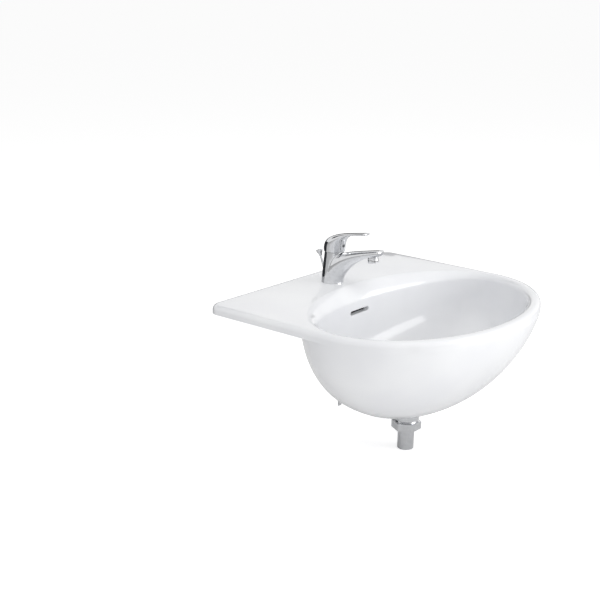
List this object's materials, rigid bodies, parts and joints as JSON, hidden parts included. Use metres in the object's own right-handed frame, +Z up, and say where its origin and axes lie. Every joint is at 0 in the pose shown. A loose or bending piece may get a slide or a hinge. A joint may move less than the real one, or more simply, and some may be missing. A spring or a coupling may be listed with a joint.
{
  "type": "semi recessed basin",
  "caption": "Semi recessed ceramic basin with a rounded projecting front, flat tap ledge, single-lever chrome mixer tap, lift rod and pop-up waste.",
  "frame": {"origin": "middle of the basin's straight back edge, on the plane where the rim's underside sits on the worktop", "axes": "+Z up, -Y towards the user at the rounded front, +X to the right of a person looking along +Y"},
  "size_m": [0.56, 0.483, 0.4085],
  "materials": {
    "glazed_china": "gloss",
    "polished_chrome": "polished",
    "brass": "satin",
    "stainless_steel": "satin",
    "black_rubber": "matte",
    "white_plastic": "matte",
    "grey_plastic": "satin"
  },
  "bodies": {
    "basin": {"basin_body": "glazed_china", "tap_body": "polished_chrome", "aerator_housing": "polished_chrome", "dome_ring": "polished_chrome", "waste_flange": "polished_chrome", "waste_tee": "polished_chrome", "tailpiece": "polished_chrome", "tail_nut": "polished_chrome", "pivot_nut": "polished_chrome", "cartridge_ring_nut": "brass", "fixing_nut": "brass", "waste_locknut": "brass", "fixing_stud": "stainless_steel", "fixing_steel_washer": "stainless_steel", "tap_base_seal": "black_rubber", "fixing_rubber_washer": "black_rubber", "aerator_seal": "black_rubber", "cartridge_seals": "black_rubber", "waste_flange_seal": "black_rubber", "waste_gasket": "black_rubber", "tail_seal": "black_rubber", "cartridge_body": "white_plastic", "aerator_insert": "white_plastic", "waste_slip_washer": "white_plastic", "pivot_inner_seat": "white_plastic", "pivot_outer_seat": "white_plastic"},
    "carrier": {"cartridge_carrier": "grey_plastic", "stem_pin": "stainless_steel"},
    "handle": {"cartridge_stem": "stainless_steel", "lever_handle": "polished_chrome", "handle_grub_screw": "stainless_steel", "handle_plug": "grey_plastic"},
    "lift_rod": {"lift_rod": "polished_chrome", "lift_knob": "polished_chrome", "clevis_strap": "polished_chrome", "clevis_screw": "polished_chrome", "spring_clip": "stainless_steel"},
    "pivot_lever": {"pivot_rod": "polished_chrome", "pivot_ball": "white_plastic"},
    "plug": {"plug_cap": "polished_chrome", "plug_seal": "black_rubber", "plug_stem": "white_plastic"}
  },
  "joints": [
    {"name": "handle_swivel", "type": "hinge", "parent": "basin", "child": "carrier", "pos_m": [0, -0.076, 0.074], "axis": [0, 0, 1], "range_deg": [-45, 45]},
    {"name": "handle_tilt", "type": "hinge", "parent": "carrier", "child": "handle", "pos_m": [0, -0.076, 0.074], "axis": [-1, 0, 0], "range_deg": [0, 25]},
    {"name": "lift_slide", "type": "slide", "parent": "basin", "child": "lift_rod", "axis": [0, 0.342, 0.9397], "range_m": [0, 0.03]},
    {"name": "pivot_swing", "type": "hinge", "parent": "basin", "child": "pivot_lever", "pos_m": [0, -0.238, -0.2055], "axis": [1, 0, 0], "range_deg": [0, 11.2]},
    {"name": "plug_slide", "type": "slide", "parent": "basin", "child": "plug", "axis": [0, 0, 1], "range_m": [-0.0047, 0]}
  ],
  "couplings": [
    {"joint": "pivot_swing", "follows": "lift_slide", "rad_per_m": 6.5043},
    {"joint": "plug_slide", "follows": "lift_slide", "ratio": -0.1566}
  ]
}
